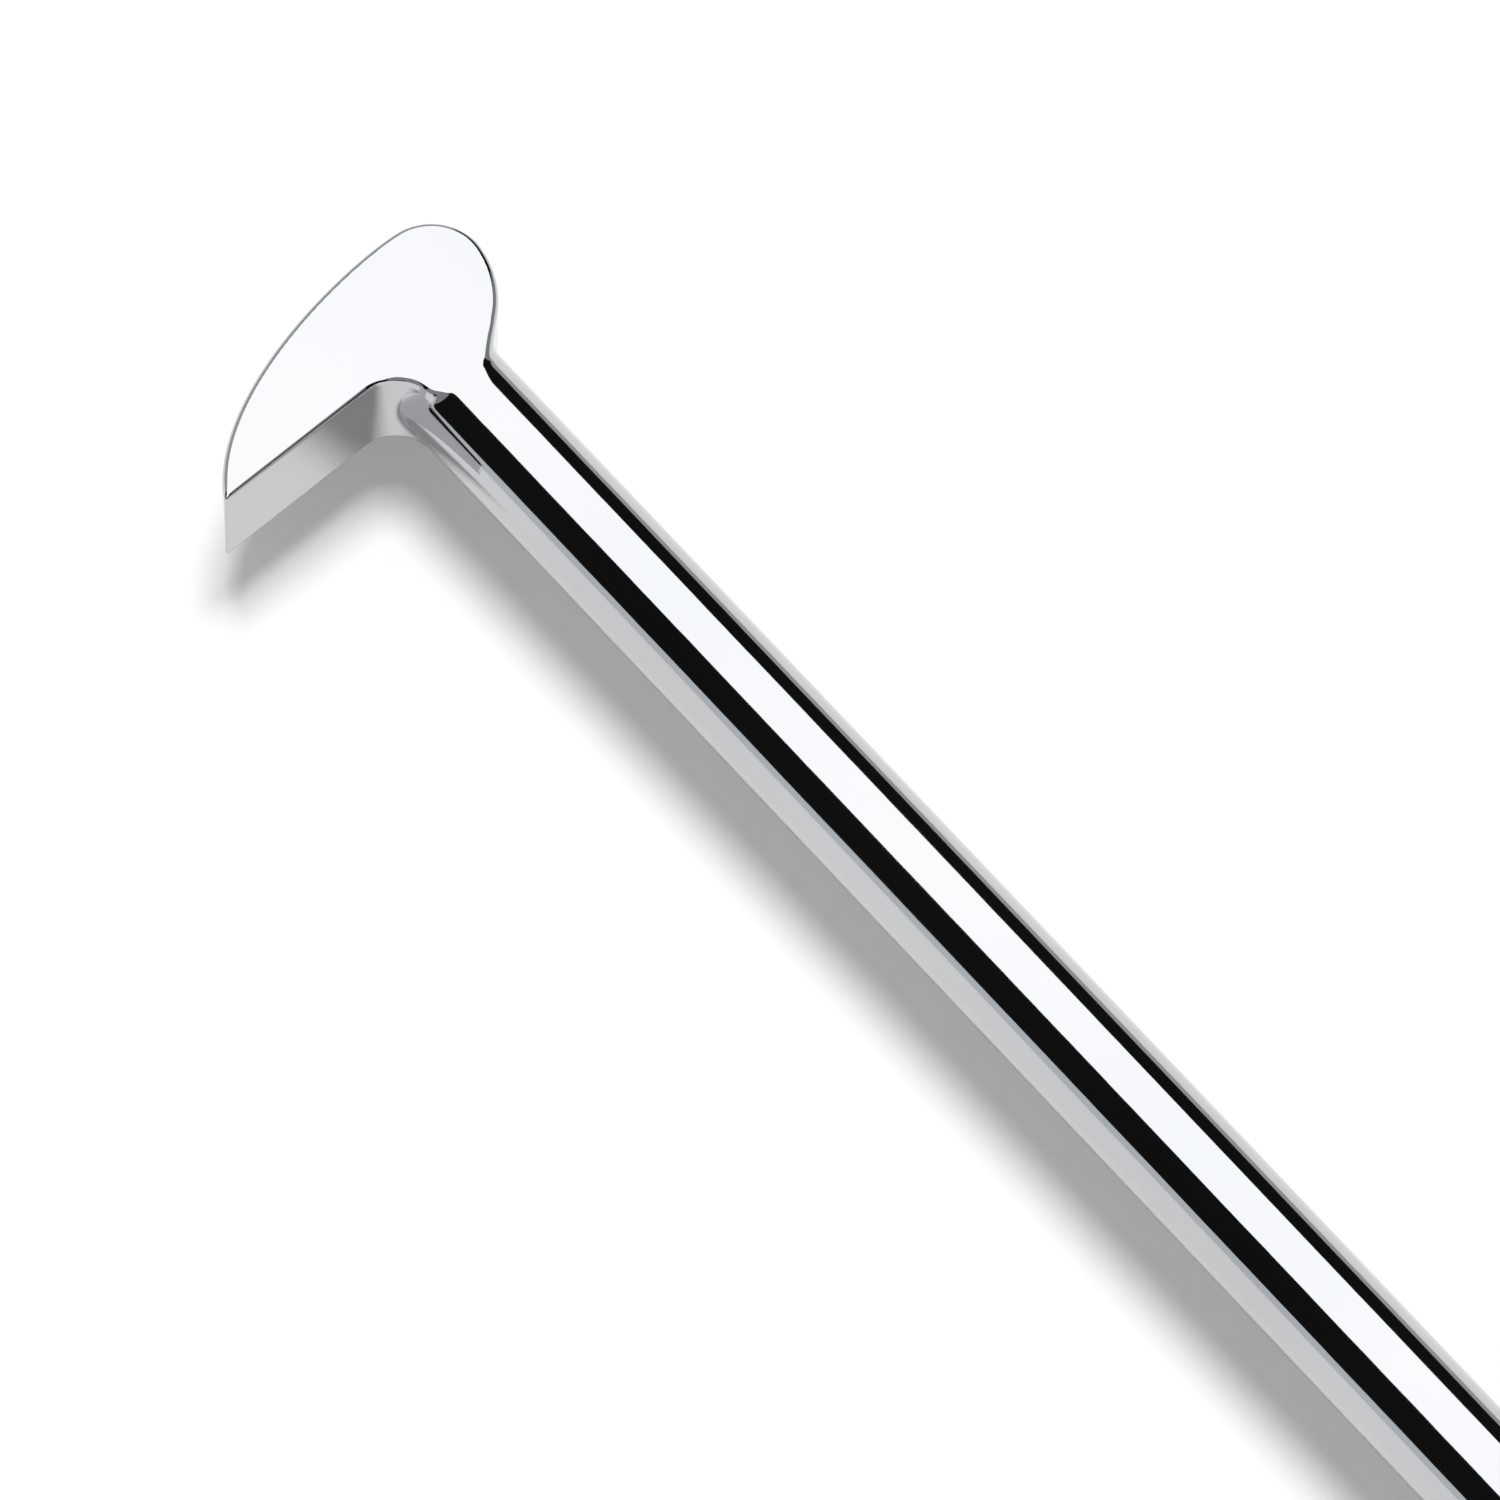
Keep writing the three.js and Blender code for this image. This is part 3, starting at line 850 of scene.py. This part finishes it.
def add_key(aim):
    """A soft disc of light over the head, which gives the shadow and doesn't show in reflections."""
    light = bpy.data.lights.new("key", "AREA")
    light.shape = "DISK"
    light.size = KEY_SIZE
    light.energy = KEY_POWER
    holder = bpy.data.objects.new("key", light)
    bpy.context.scene.collection.objects.link(holder)
    holder.location = aim + KEY_DIRECTION.normalized() * KEY_DISTANCE
    holder.rotation_mode = "QUATERNION"
    holder.rotation_quaternion = KEY_DIRECTION.to_track_quat("Z", "Y")
    holder.visible_glossy = False


def add_world():
    """A white backdrop with its own strength for camera rays, reflections and light."""
    world = bpy.data.worlds.new("studio")
    bpy.context.scene.world = world
    world.use_nodes = True
    tree = world.node_tree
    background = tree.nodes["Background"]
    path = tree.nodes.new("ShaderNodeLightPath")
    seen = tree.nodes.new("ShaderNodeMix")
    seen.inputs["A"].default_value = WORLD_LIGHT
    seen.inputs["B"].default_value = WORLD_MIRRORED
    tree.links.new(path.outputs["Is Glossy Ray"], seen.inputs["Factor"])
    direct = tree.nodes.new("ShaderNodeMix")
    direct.inputs["B"].default_value = WORLD_SEEN
    tree.links.new(path.outputs["Is Camera Ray"], direct.inputs["Factor"])
    tree.links.new(seen.outputs["Result"], direct.inputs["A"])
    tree.links.new(direct.outputs["Result"], background.inputs["Strength"])
    background.inputs["Color"].default_value = (1, 1, 1, 1)


def add_studio():
    here = Vector((HEAD_X * MM, 0, 0))
    stage_plane("floor", Vector((0, 0, FLOOR_Z)), Vector((FLOOR_REACH, 0, 0)),
                Vector((0, FLOOR_REACH, 0)), floor_material())
    add_world()
    add_key(here)
    for name, offset, along, across, strength, colour in CARDS:
        add_reflector(name, here + Vector(offset), Vector(along), Vector(across), strength, colour)
    view = bpy.context.scene.view_settings
    view.view_transform = "Standard"
    view.look = "None"


add_camera()
add_studio()
make_blade(chrome_material())
make_ferrule(ferrule_material())
make_core(core_material())
make_sleeve(sleeve_material())
make_washer(washer_material())
make_cap(turned_steel("cap_blued", (0.13, 0.135, 0.15), (0.21, 0.21, 0.22), 0.24, 0.40))
make_pin(turned_steel("pin_ground", (0.36, 0.36, 0.37), (0.50, 0.50, 0.51), 0.24, 0.36))
